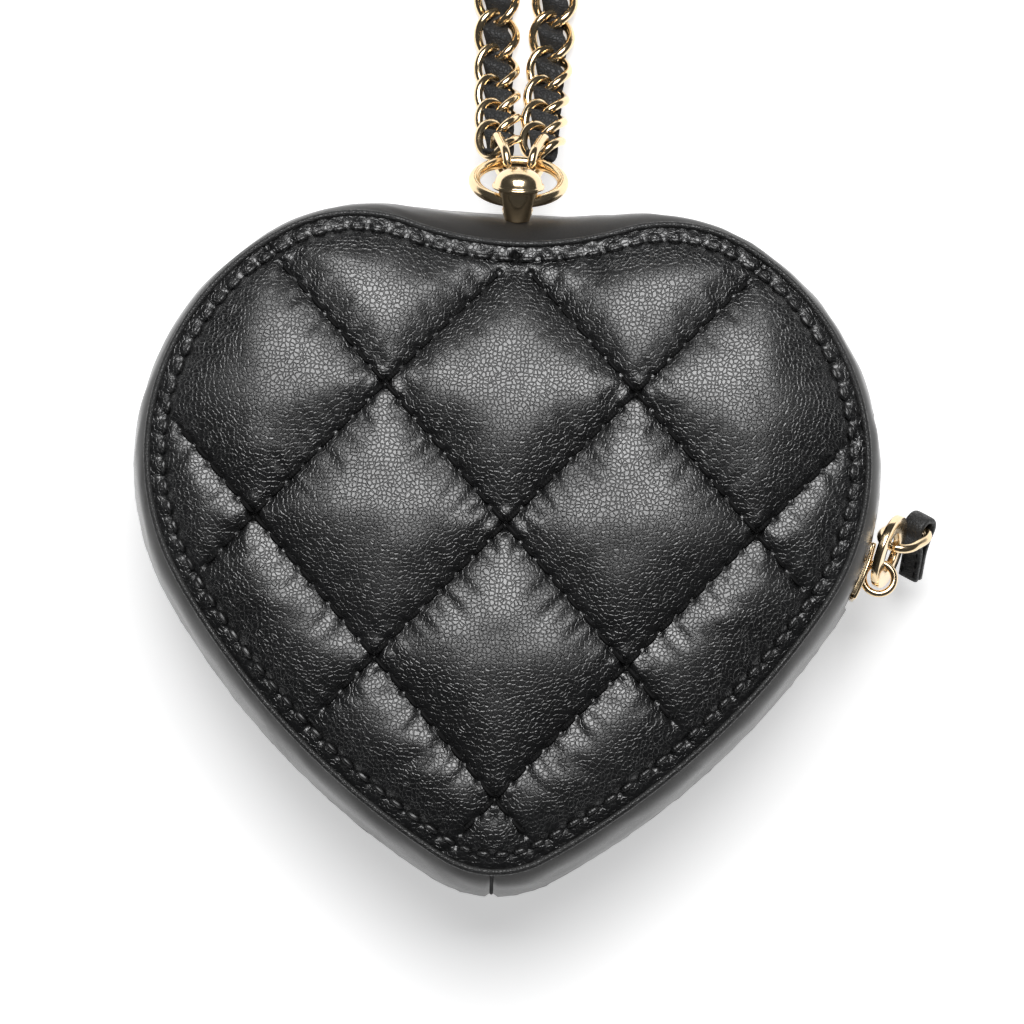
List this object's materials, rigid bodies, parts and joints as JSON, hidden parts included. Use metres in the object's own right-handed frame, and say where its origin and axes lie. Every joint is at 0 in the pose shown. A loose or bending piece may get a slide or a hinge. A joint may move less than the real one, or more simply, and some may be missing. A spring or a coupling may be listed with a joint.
{
  "type": "heart shaped purse",
  "caption": "Small heart shaped quilted leather purse with a side zip and a leather-laced chain wrist loop on a ring and stud in the notch.",
  "frame": {"origin": "on the heart's axis, in the plane that the back panel rests on", "axes": "+Z out of the front panel, +Y to the notch and the chain, +X to the zip"},
  "size_m": [0.1228, 0.2285, 0.039],
  "materials": {
    "panel_leather": "soft pebbled grain, low sheen",
    "gusset_leather": "smooth grain, satin",
    "edge_leather": "smooth grain, satin",
    "lace_leather": "soft, matt",
    "wadding": "fleecy",
    "lining": "plain weave",
    "zip_tape": "herringbone weave",
    "gold_metal": "polished, pale gold plate"
  },
  "bodies": {
    "purse": {"front_panel_leather": "panel_leather", "back_panel_leather": "panel_leather", "front_wadding": "wadding", "back_wadding": "wadding", "front_edge_binding": "edge_leather", "back_edge_binding": "edge_leather", "front_lining": "lining", "back_lining": "lining", "front_gusset": "gusset_leather", "back_gusset": "gusset_leather", "side_lining": "lining", "front_zip_tape": "zip_tape", "back_zip_tape": "zip_tape", "front_zip_teeth": "gold_metal", "back_zip_teeth": "gold_metal", "zip_bottom_stop": "gold_metal", "zip_top_stop": "gold_metal", "ring_stud": "gold_metal", "stud_washer": "gold_metal", "stud_rivet": "gold_metal"},
    "slider": {"slider_body": "gold_metal"},
    "zip_pull_ring": {"pull_ring": "gold_metal"},
    "zip_pull_link": {"pull_link": "gold_metal"},
    "zip_pull_tab": {"pull_tab": "edge_leather"},
    "stud_ring": {"strap_ring": "gold_metal"},
    "strap": {"chain_end_links": "gold_metal", "chain_links": "gold_metal", "chain_lace": "lace_leather"}
  },
  "joints": [
    {"name": "slider_travel", "type": "hinge", "parent": "purse", "child": "slider", "pos_m": [0.0155, 0.0136, 0.0195], "axis": [0, 0, 1], "range_deg": [0, 67]},
    {"name": "pull_ring_swing", "type": "hinge", "parent": "slider", "child": "zip_pull_ring", "pos_m": [0.05678, -0.00063, 0.0195], "axis": [0, 0, -1], "range_deg": [0, 130]},
    {"name": "pull_link_swing", "type": "hinge", "parent": "zip_pull_ring", "child": "zip_pull_link", "pos_m": [0.06005, 0.00584, 0.0163], "axis": [0.072, 0.7855, 0.6147], "range_deg": [-25, 25]},
    {"name": "pull_tab_swing", "type": "hinge", "parent": "zip_pull_link", "child": "zip_pull_tab", "pos_m": [0.06345, 0.00815, 0.01295], "axis": [0.7642, -0.4395, 0.472], "range_deg": [-25, 40]},
    {"name": "ring_swing", "type": "hinge", "parent": "purse", "child": "stud_ring", "pos_m": [0, 0.053, 0.03067], "axis": [1, 0, 0], "range_deg": [-10, 110]},
    {"name": "strap_swing", "type": "hinge", "parent": "stud_ring", "child": "strap", "pos_m": [0, 0.06086, 0.02062], "axis": [1, 0, 0], "range_deg": [-20, 80]}
  ]
}
